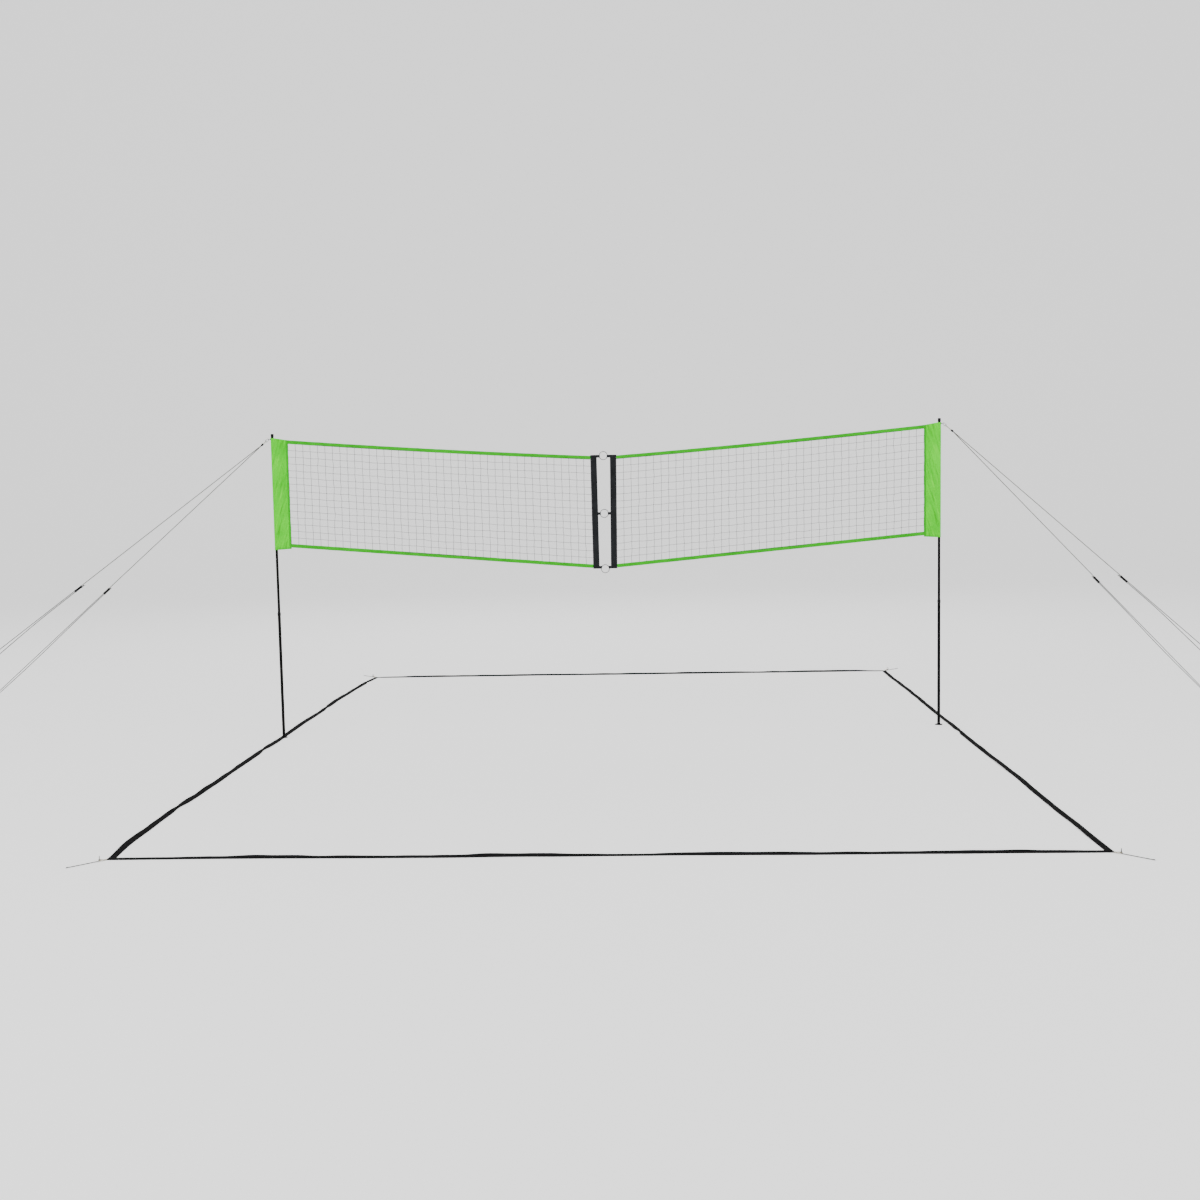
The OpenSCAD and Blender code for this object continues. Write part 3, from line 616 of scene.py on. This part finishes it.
def add_netting(s, columns=41, rows=15):
    """One half of the net: upright twines, cross twines and a small knot at every inner crossing."""
    shape = Shape()
    knots = np.zeros((columns + 1, rows + 1, 3))
    for i in range(columns + 1):
        t = i / columns
        lo, hi = net_bottom(t) + TAPE_W - 0.003, net_top(s, t) - TAPE_W + 0.003
        for j in range(rows + 1):
            z = lerp(lo, hi, j / rows)
            x = lerp(inner_edge_x(s), panel_end(s, z) - s * 0.004, t)
            loose = min(1.0, min(i, columns - i, j, rows - j) / 2)
            droop = 0.0035 * math.sin(math.pi * t) * math.sin(math.pi * j / rows)
            sway = 0.002 * math.sin(9 * t + j)
            knots[i, j] = (x + loose * rng.normal(0, KNOT_PLAY),
                           POLE_Y + loose * rng.normal(0, KNOT_PLAY) + sway,
                           z - droop + loose * rng.normal(0, KNOT_PLAY))
    for i in range(columns + 1):
        line = []
        for j in range(rows):
            a, b = knots[i, j], knots[i, j + 1]
            line += [a, lerp(a, b, 0.5) + [0.0007 * (-1) ** (i + j), 0.0003, 0]]
        line.append(knots[i, rows])
        shape.tube(line, TWINE_D / 2, 6, up=(0, 1, 0))
    for j in range(rows + 1):
        line = []
        for i in range(columns):
            a, b = knots[i, j], knots[i + 1, j]
            line += [a, lerp(a, b, 0.5) - [0, 0, 0.0012]]
        line.append(knots[columns, j])
        shape.tube(line, TWINE_D / 2, 6)
    for i in range(1, columns):
        for j in range(1, rows):
            shape.blob(knots[i, j], (0.0021, 0.0018, 0.0021), 8, 5, 0.15)
    net = shape.make(f"{SIDE[s]}_net", TWINE, "twine")
    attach(net, "left_mast")
    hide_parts(f"{SIDE[s]}_netting")
    return net


def add_tape(s, top):
    """One edge tape with slight ripples, and its length."""
    name = f"{SIDE[s]}_{'top' if top else 'bottom'}_edge_tape"
    steps = 150
    centres, normals, profiles = [], [], []
    base = flat_profile(TAPE_W, TAPE_T)
    for i in range(steps + 1):
        t = i / steps
        edge_z = net_top(s, t) if top else net_bottom(t)
        z = edge_z - TAPE_W / 2 if top else edge_z + TAPE_W / 2
        wander = math.sin(math.pi * min(1, 12 * t, 12 * (1 - t)) / 2)
        n = noise.noise(Vector((t * 34 + 5 * s, 3.0 * top, 0)))
        m = noise.noise(Vector((t * 11 + 9 * s, 7.0 + top, 2)))
        x = lerp(inner_edge_x(s), panel_end(s, edge_z), t)
        centres.append([x, POLE_Y + wander * 0.0022 * m, z + wander * 0.0009 * n])
        profiles.append(base * [1 + 0.02 * n * wander, 1 + 0.25 * abs(n)])
        normals.append(unit([0.0, 1.0, 0.10 * n * wander]))
    centres = np.array(centres)
    tangent = np.gradient(centres, axis=0)
    tangent /= np.linalg.norm(tangent, axis=1)[:, None]
    across = np.cross(tangent, np.array(normals))
    across = np.array([a if a[2] > 0 else -a for a in across])
    shape = Shape()
    shape.ribbon(centres, across, normals, profiles)
    tape = shape.make(name, TAPE, "edge_tape")
    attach(tape, "left_mast")
    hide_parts(f"{SIDE[s]}_{'top' if top else 'bottom'}_tape")
    return tape, path_length(centres)


def add_strap(s):
    """The webbing down the inner end of one panel, doubled where it is hemmed."""
    top, bottom = NET_TOP_MID + 0.004, NET_BOTTOM_MID - 0.004
    centres, across, normals, profiles = [], [], [], []
    base = flat_profile(STRAP_W, STRAP_T)
    for i in range(121):
        z = lerp(bottom, top, i / 120)
        end = min(z - bottom, top - z)
        thick = 1.0 + 0.45 * max(0.0, min(1.0, (0.024 - end) / 0.002))
        n = noise.noise(Vector((z * 9, s * 4.0, 1.0)))
        centres.append([strap_edge(s, z) + s * STRAP_W / 2, POLE_Y + 0.0016 * n * min(1, end / 0.05), z])
        across.append(unit([1.0, 0.07 * n, 0.0]))
        normals.append(unit([-0.07 * n, 1.0, 0.0]))
        profiles.append(base * [1.0, thick])
    shape = Shape()
    shape.ribbon(centres, across, normals, profiles)
    strap = shape.make(f"{SIDE[s]}_centre_webbing", CHARCOAL, "centre_webbing")
    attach(strap, "left_mast")
    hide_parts(f"{SIDE[s]}_centre_strap")


def stitch_line(shape, a, b, lift, pitch=0.0034, length=0.0024, radius=0.00028):
    """Short raised stitches from a to b."""
    a, b = np.asarray(a, float), np.asarray(b, float)
    span = np.linalg.norm(b - a)
    along = (b - a) / span
    for i in range(max(1, int(span / pitch))):
        p = a + along * (i + 0.5) * pitch
        pts = [p - along * length / 2, p - along * length / 4 + lift * radius,
               p + along * length / 4 + lift * radius, p + along * length / 2]
        shape.tube(pts, radius, 5, up=lift)


def tab_layer(wire_x, edge, far, round_it, lift):
    """One face of a tab's section: out from its far end, round the ring's wire and back."""
    mid, radius = (wire_x + edge) / 2, round_it + lift
    back = [(far, TAB_GAP + lift), (edge, TAB_GAP + lift), (mid, round_it * 0.8 + lift)]
    turn = [(wire_x - math.cos(a) * radius, math.sin(a) * radius)
            for a in np.linspace(-math.pi / 2, math.pi / 2, 9)]
    return [(x, -y) for x, y in back] + turn + back[::-1]


def add_tabs():
    """A webbing loop round each side of each ring, following the ring's curve."""
    cloth, thread = Shape(), Shape()
    round_it = RING_WIRE / 2 + 0.0004
    for s in SIDES:
        for ring_z in RING_Z:
            lowest, highest = NET_BOTTOM_MID + TAB_HALF_H - 0.006, NET_TOP_MID - TAB_HALF_H + 0.006
            mid_z = min(max(ring_z, lowest), highest)
            sections = []
            for z in np.linspace(mid_z - TAB_HALF_H, mid_z + TAB_HALF_H, 9):
                rise = min(abs(z - ring_z), RING_R - 0.002)
                wire_x = math.sqrt(RING_R ** 2 - rise ** 2)
                edge = s * (strap_edge(s, z) - CENTRE_X)
                far = edge + STRAP_W - 0.004
                inner = tab_layer(wire_x, edge, far, round_it, 0.0)
                outer = tab_layer(wire_x, edge, far, round_it, TAB_T)
                sections.append([[CENTRE_X + s * x, POLE_Y + y, z] for x, y in inner + outer[::-1]])
            rings = np.array(sections)
            out = rings[0][:, 0] - CENTRE_X
            cloth.sweep(rings, np.linspace(-TAB_HALF_H, TAB_HALF_H, 9), np.append(out, out[0]))
            x0, x1 = strap_edge(s, mid_z) + s * 0.004, strap_edge(s, mid_z) + s * (STRAP_W - 0.008)
            z0, z1 = mid_z - 0.0075, mid_z + 0.0075
            for y in ENDS:
                lift = np.array([0, y, 0])
                face_y = POLE_Y + y * (TAB_GAP + TAB_T)
                box = [(x0, z0), (x1, z0), (x1, z1), (x0, z1)]
                cross = [((x0, z0), (x1, z1)), ((x0, z1), (x1, z0))]
                for a, b in list(zip(box, box[1:] + box[:1])) + cross:
                    stitch_line(thread, [a[0], face_y, a[1]], [b[0], face_y, b[1]], lift)
    tabs = cloth.make("ring_tab_webbing", CHARCOAL, "centre_webbing")
    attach(tabs, "left_mast")
    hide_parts("ring_tabs")
    sewn = thread.make("ring_tab_stitches", DARK_CORD, "centre_webbing")
    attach(sewn, "left_mast")


def crease(s, x, z):
    """How far folds and ripples lift the pocket's cloth, in metres."""
    q1 = (z * 0.86 + x * 1.9) * 15
    q2 = (z * 0.80 - x * 2.4) * 11
    a = 1 - abs(noise.noise(Vector((q1, x * 9, 3.3 + s)))) * 2.4
    b = 1 - abs(noise.noise(Vector((q2, x * 7 + 4, 8.1 - s)))) * 2.4
    c = noise.noise(Vector((x * 40, z * 22, s * 5.0)))
    return 0.0019 * max(a, 0) ** 2 + 0.0016 * max(b, 0) ** 2 + 0.0010 * c


def add_sleeve(s):
    """The pocket that holds a net side on its mast, flat at the net and round at the tube."""
    columns, heights = 34, 230
    outline = [lerp(-SLEEVE_W, -POCKET_MOUTH, k ** 0.92) for k in np.linspace(0, 1, columns)]
    angles = np.linspace(2.05, -2.05, 23)
    rows_out, rows_in = [], []
    for i in range(heights + 1):
        share = i / heights
        out_row, in_row = [], []
        for layer in (1, -1):
            for x in outline[::layer]:
                away = max(0.0, (-x - SLEEVE_SEAM) / (SLEEVE_W - SLEEVE_SEAM))
                top = SLEEVE_TOP[s] - away * (SLEEVE_TOP[s] - NET_TOP_SIDE[s])
                bottom = SLEEVE_BOTTOM + away * SLEEVE_LIFT
                z = lerp(bottom, top, share)
                k = (x + SLEEVE_W) / (SLEEVE_W - POCKET_MOUTH)
                half = lerp(0.0024, POCKET_R * 0.985, k ** 1.25)
                hem = min(1, 0.35 + 14 * min(z - bottom, top - z))
                free = math.sin(math.pi * min(1, max(0, k))) ** 0.7 * hem
                push = crease(s * layer, x, z) * free
                out_row.append([x, layer * (half + push), z])
                in_row.append([x, layer * (half + push - SLEEVE_T), z])
            if layer == 1:
                z = lerp(SLEEVE_BOTTOM, SLEEVE_TOP[s], share)
                for a in angles:
                    radius = POCKET_R + 0.0004 * noise.noise(Vector((a * 2, share * 40, s)))
                    out_row.append([radius * math.cos(a), radius * math.sin(a), z])
                    in_row.append([(radius - SLEEVE_T) * math.cos(a), (radius - SLEEVE_T) * math.sin(a), z])
        rows_out.append(out_row)
        rows_in.append(in_row)
    full = np.concatenate([rows_out, rows_in[::-1], rows_out[:1]], 0)
    m, n = full.shape[:2]
    placed = np.stack([POLE_X[s] + s * full[..., 0], POLE_Y + full[..., 1], full[..., 2]], -1)
    shape = Shape()
    shape.points.append(placed.reshape(-1, 3))
    for i in range(m - 1):
        for k in range(n):
            k1 = (k + 1) % n
            face = ((i, k), (i, k1), (i + 1, k1), (i + 1, k))
            shape.faces.append([a * n + b for a, b in face])
            shape.uvs.append(np.array([[-full[a, b, 0], full[a, b, 2]] for a, b in face]))
    sleeve = shape.make(f"{SIDE[s]}_net_sleeve", SLEEVE, "sleeve_fabric", fix=False)
    bm = bmesh.new()
    bm.from_mesh(sleeve.data)
    bmesh.ops.remove_doubles(bm, verts=bm.verts, dist=0.00001)
    bmesh.ops.recalc_face_normals(bm, faces=bm.faces)
    bm.to_mesh(sleeve.data)
    bm.free()
    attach(sleeve, f"{SIDE[s]}_mast")
    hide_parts(f"{SIDE[s]}_sleeve")
    shape = Shape()
    turns = [(math.cos(a), math.sin(a)) for a in np.linspace(0, 2 * math.pi, 33)[:-1]]
    ring = [at_mast(s, [0.0138 + 0.0006 * up, 0.0046 * out, SLEEVE_EYE_Z + 0.0058 * up]) for out, up in turns]
    shape.tube(ring, 0.0010, 8, up=(1, 0, 0), loop=True)
    eye = shape.make(f"{SIDE[s]}_sleeve_loop", DARK_CORD, "dark_steel")
    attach(eye, f"{SIDE[s]}_mast")
    return sleeve, eye


nets = {s: add_netting(s) for s in SIDES}
for s in SIDES:
    for top in (True, False):
        tape, length = add_tape(s, top)
    add_strap(s)
    sleeve, eye = add_sleeve(s)
add_tabs()


# ---- court ----
def laid(p):
    """A point of the court's own plan, where the turned court lies on the ground."""
    c, w = math.cos(COURT_TURN), math.sin(COURT_TURN)
    return np.array([COURT_X + p[0] * c - p[1] * w, p[0] * w + p[1] * c, 0.0])


def drift(d, scale, seed, layer):
    """Smooth noise along a line."""
    return noise.noise(Vector((d * scale, seed, layer)))


def left_bow(d):
    """Outward bow of the left line at a distance along it, and how near the pole's foot on it is."""
    half = COURT_L / 2 - WEBBING_W
    y = d - half
    foot = (COURT_X - POLE_X[LEFT]) * math.sin(COURT_TURN) + POLE_Y * math.cos(COURT_TURN)
    return SIDE_BOW * (1 - (y / half) ** 8), math.exp(-((y - foot) / 0.12) ** 2)


def add_line(name, a, b, seed, wander, lean, pinch=(), curve=None):
    """One webbing line laid by hand: it wanders, rolls and lifts a little between its corners.

    Each pinch is (distance along, reach, extra roll), where the line is gathered narrow and thick.
    """
    a, b = np.array(a, float), np.array(b, float)
    span = np.linalg.norm(b - a)
    along = (b - a) / span
    side = np.array([-along[1], along[0]])
    steps = int(span / 0.02)
    centres, across, normals, profiles = [], [], [], []
    base = flat_profile(WEBBING_W, WEBBING_T)
    for i in range(steps + 1):
        d = span * i / steps
        hold = min(1.0, d / 0.4, (span - d) / 0.4)
        bow = wander * hold * (drift(d, 0.9, seed, 0) + 0.5 * drift(d, 2.7, seed, 5))
        if curve:
            drawn, under_foot = curve(d)
            bow = bow * (1 - under_foot) + drawn
            hold *= 1 - under_foot
        roll = lean * hold + 0.16 * hold * drift(d, 1.7, seed, 9) + 0.10 * hold * drift(d, 6.0, seed, 3)
        lift = 0.0035 * hold * max(0.0, drift(d, 2.2, seed, 14))
        width, thick = 1.0, 1.0
        for at, reach, tilt in pinch:
            w = math.exp(-((d - at) / reach) ** 2)
            width -= PINCH_NARROW * w
            thick += PINCH_THICK * w
            roll += tilt * w * hold
        xy = a + along * d + side * bow
        half = WEBBING_W / 2 * width * abs(math.sin(roll)) + WEBBING_T * thick / 2 * math.cos(roll)
        centre = laid(xy)
        centres.append([centre[0], centre[1], half + lift + 0.0001])
        turned = laid(xy + side) - centre
        across.append(turned * math.cos(roll) + np.array([0, 0, math.sin(roll)]))
        normals.append(np.array([0, 0, math.cos(roll)]) - turned * math.sin(roll))
        profiles.append(base * [width, thick])
    shape = Shape()
    shape.ribbon(centres, across, normals, profiles)
    line = shape.make(name + "_webbing", COURT, "court_webbing")
    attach(line, "ground_set")
    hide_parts(name)


HALF_W, HALF_L, INSET = COURT_W / 2, COURT_L / 2, WEBBING_W / 2
SIDE_X, SIDE_Y, END_Y = HALF_W - INSET, HALF_L - 2 * INSET, HALF_L - INSET
add_line("court_front_line", (-HALF_W, -END_Y), (HALF_W, -END_Y), 1.0, wander=0.010, lean=0.11)
add_line("court_back_line", (-HALF_W, END_Y), (HALF_W, END_Y), 2.0, wander=0.010, lean=0.25)
add_line("court_left_line", (-SIDE_X, -SIDE_Y), (-SIDE_X, SIDE_Y), 3.0, wander=0.012,
         pinch=((1.06, 0.09, 0.4), (2.78, 0.09, 0.4), (4.61, 0.08, 0.4), (6.11, 0.06, 0.4)),
         lean=0.13, curve=left_bow)
add_line("court_right_line", (SIDE_X, -SIDE_Y), (SIDE_X, SIDE_Y), 4.0, wander=0.012,
         pinch=((3.2, 0.07, -0.5),), lean=0.02)


def corner_frame(s, f):
    """A court corner, and its outward, sideways and upward directions."""
    corner = laid([s * COURT_W / 2, f * COURT_L / 2])
    angle = math.atan2(f, s) + COURT_TURN
    out = np.array([math.cos(angle), math.sin(angle), 0])
    return corner, out, np.array([-out[1], out[0], 0]), np.array([0, 0, 1.0])


def add_corner_loops():
    """A small tape loop from each court corner through its peg's ring, sewn down with two rows."""
    shape, thread = Shape(), Shape()
    for s in SIDES:
        for f in ENDS:
            corner, out, side, up = corner_frame(s, f)
            turn = -s * f * math.radians(20)
            flip = 1 if s * f > 0 else -1
            ring_side = math.cos(turn) * side - math.sin(turn) * out
            ring_c = corner + CORNER_REACH * out + (EYE_HOLE_Z + PEG_RING_R - RING_PLAY) * up
            low = math.radians(-48)
            wire = ring_c + PEG_RING_R * (flip * math.cos(low) * ring_side + math.sin(low) * up)
            tangent = unit(-flip * math.sin(low) * ring_side + math.cos(low) * up)
            x_wire = float((wire - corner) @ out)
            path = [(-0.006, 0.0012), (0.0, 0.0014), (0.008, 0.0017), (0.016, 0.0022),
                    (x_wire - 0.004, 0.0025)]
            path += [(x_wire + 0.0025 * math.sin(a), 0.0025 * math.cos(a))
                     for a in np.linspace(0, math.pi, 9)]
            path += [(x_wire - 0.004, -0.0025), (0.016, -0.0022), (0.010, -0.0012), (0.004, -0.0007)]
            aim = tangent * flip
            centres, across, profiles = [], [], []
            for x, off in path:
                t = min(1.0, max(0.0, (x + 0.002) / (x_wire + 0.002)))
                t = t * t * (3 - 2 * t)
                on_line = corner + out * x + up * 0.0022
                on_wire = wire + out * (x - x_wire)
                w = unit(side * (1 - t) + aim * t) if np.dot(side, aim) > -0.9 else side
                facing = unit(np.cross(out, w))
                facing = facing if facing[2] > 0 else -facing
                centre = on_line * (1 - t) + on_wire * t + facing * off
                centre[2] = max(centre[2], 0.0008)
                centres.append(centre)
                across.append(w)
                profiles.append(flat_profile(lerp(0.0155, 0.0075, t), 0.0011))
            tangents = np.gradient(np.array(centres), axis=0)
            normals = [unit(np.cross(unit(along), w)) for along, w in zip(tangents, across)]
            shape.ribbon(centres, across, normals, profiles)
            for k in (-0.005, 0.005):
                a = corner - out * 0.005 + side * k + up * 0.0040
                b = corner + out * 0.004 + side * k + up * 0.0040
                stitch_line(thread, a, b, up)
    loops_made = shape.make("corner_tape_loops", CREAM, "corner_loop")
    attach(loops_made, "ground_set")
    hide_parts("corner_loops")
    sewn = thread.make("corner_stitches", DARK_CORD, "court_webbing")
    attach(sewn, "ground_set")


def add_peg_tips():
    """The dark dipped outer end of each peg, with its small knob."""
    shape = Shape()
    places = []
    for s in SIDES:
        for f in ENDS:
            corner, out, _, _ = corner_frame(s, f)
            places.append((corner + CORNER_REACH * out, out))
            eye, _, along, *_ = guy_geometry(s, f)
            places.append((np.array([eye[0], eye[1], 0.0]), unit([-along[0], -along[1], 0])))
    for at, away in places:
        def on(x, z=0.0021):
            return at + away * x + np.array([0, 0, z])
        shape.tube([on(0.110), on(0.112), on(0.158)], [0.00195, 0.00208, 0.00208], 12)
        knob = [on(0.1575, 0.0024), on(0.1585, 0.0026), on(0.1615, 0.0030), on(0.1645, 0.0030),
                on(0.1670, 0.0028), on(0.1682, 0.0027)]
        shape.tube(knob, [0.0012, 0.0022, 0.0029, 0.0028, 0.0018, 0.0004], 12)
    tips = shape.make("peg_tips", DARK_STEEL, "dark_steel")
    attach(tips, "ground_set")


add_corner_loops()
add_peg_tips()

# ---- finishes of the CAD parts that stay ----
KEPT = {
    "lower_tube": BLACK_TUBE, "middle_tube": BLACK_TUBE, "upper_tube": BLACK_TUBE, "foot": RUBBER,
    "guide_bush": BLACK_PLASTIC, "lock_plug": BLACK_PLASTIC, "cap": BLACK_PLASTIC, "ferrule": BLACK_PLASTIC,
    "snap_button": BUTTON, "button_spring": SPRING, "eye_bolt": DARK_STEEL, "hook": ZINC, "hook_gate": ZINC,
}


def finish_of(name):
    if name in ("top_ring", "middle_ring", "bottom_ring", "peg_rings"):
        return NICKEL
    if name == "pegs":
        return WIRE
    if name.endswith("_runner"):
        return BLACK_PLASTIC
    side, _, part = name.partition("_")
    return KEPT.get(part) if side in SIDE.values() else None


for name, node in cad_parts.items():
    finish = finish_of(name)
    if finish:
        node.data.materials.clear()
        node.data.materials.append(finish)


# ---- floor and light ----
def add_stage():
    """A sheet of paper under the object that curves up behind it."""
    bend = [(FLOOR_FAR + FLOOR_BEND * math.sin(a), FLOOR_BEND - FLOOR_BEND * math.cos(a))
            for a in np.linspace(0.1, math.pi / 2, 12)]
    section = [(FLOOR_NEAR, 0.0), (FLOOR_FAR, 0.0)] + bend + [(FLOOR_FAR + FLOOR_BEND, FLOOR_TOP)]
    rings = [[[x, y, z - 0.0002] for x in (-FLOOR_HALF_W, FLOOR_HALF_W)] for y, z in section]
    shape = Shape()
    shape.sweep(rings, np.arange(len(rings)), np.array([0.0, 1.0]), closed=False)
    floor = shape.make("studio_floor", studio_floor(), "black_plastic", fix=False)


def area_light(name, place, aim, size, power):
    data = bpy.data.lights.new(name, "AREA")
    data.shape = "RECTANGLE"
    data.size, data.size_y = size
    data.energy = power
    light = bpy.data.objects.new(name, data)
    light.location = place
    light.rotation_euler = (Vector(aim) - Vector(place)).to_track_quat("-Z", "Y").to_euler()
    bpy.context.scene.collection.objects.link(light)


add_stage()
area_light("key", (-6, -9, 9), (0, 0, 1), (7, 5), 700)
area_light("fill", (8, -8, 6), (0, 0, 1), (6, 5), 350)
area_light("back", (0, 9, 9), (0, 0, 1.5), (10, 4), 500)
world = bpy.data.worlds.new("studio")
world.use_nodes = True
tree = world.node_tree
background = tree.nodes["Background"]
background.inputs["Color"].default_value = (1.0, 1.0, 1.0, 1.0)
seen = tree.nodes.new("ShaderNodeLightPath")
strength = tree.nodes.new("ShaderNodeMapRange")
strength.inputs["To Min"].default_value = WORLD_LIGHT
strength.inputs["To Max"].default_value = WORLD_SEEN
tree.links.new(seen.outputs["Is Camera Ray"], strength.inputs["Value"])
tree.links.new(strength.outputs["Result"], background.inputs["Strength"])
bpy.context.scene.world = world
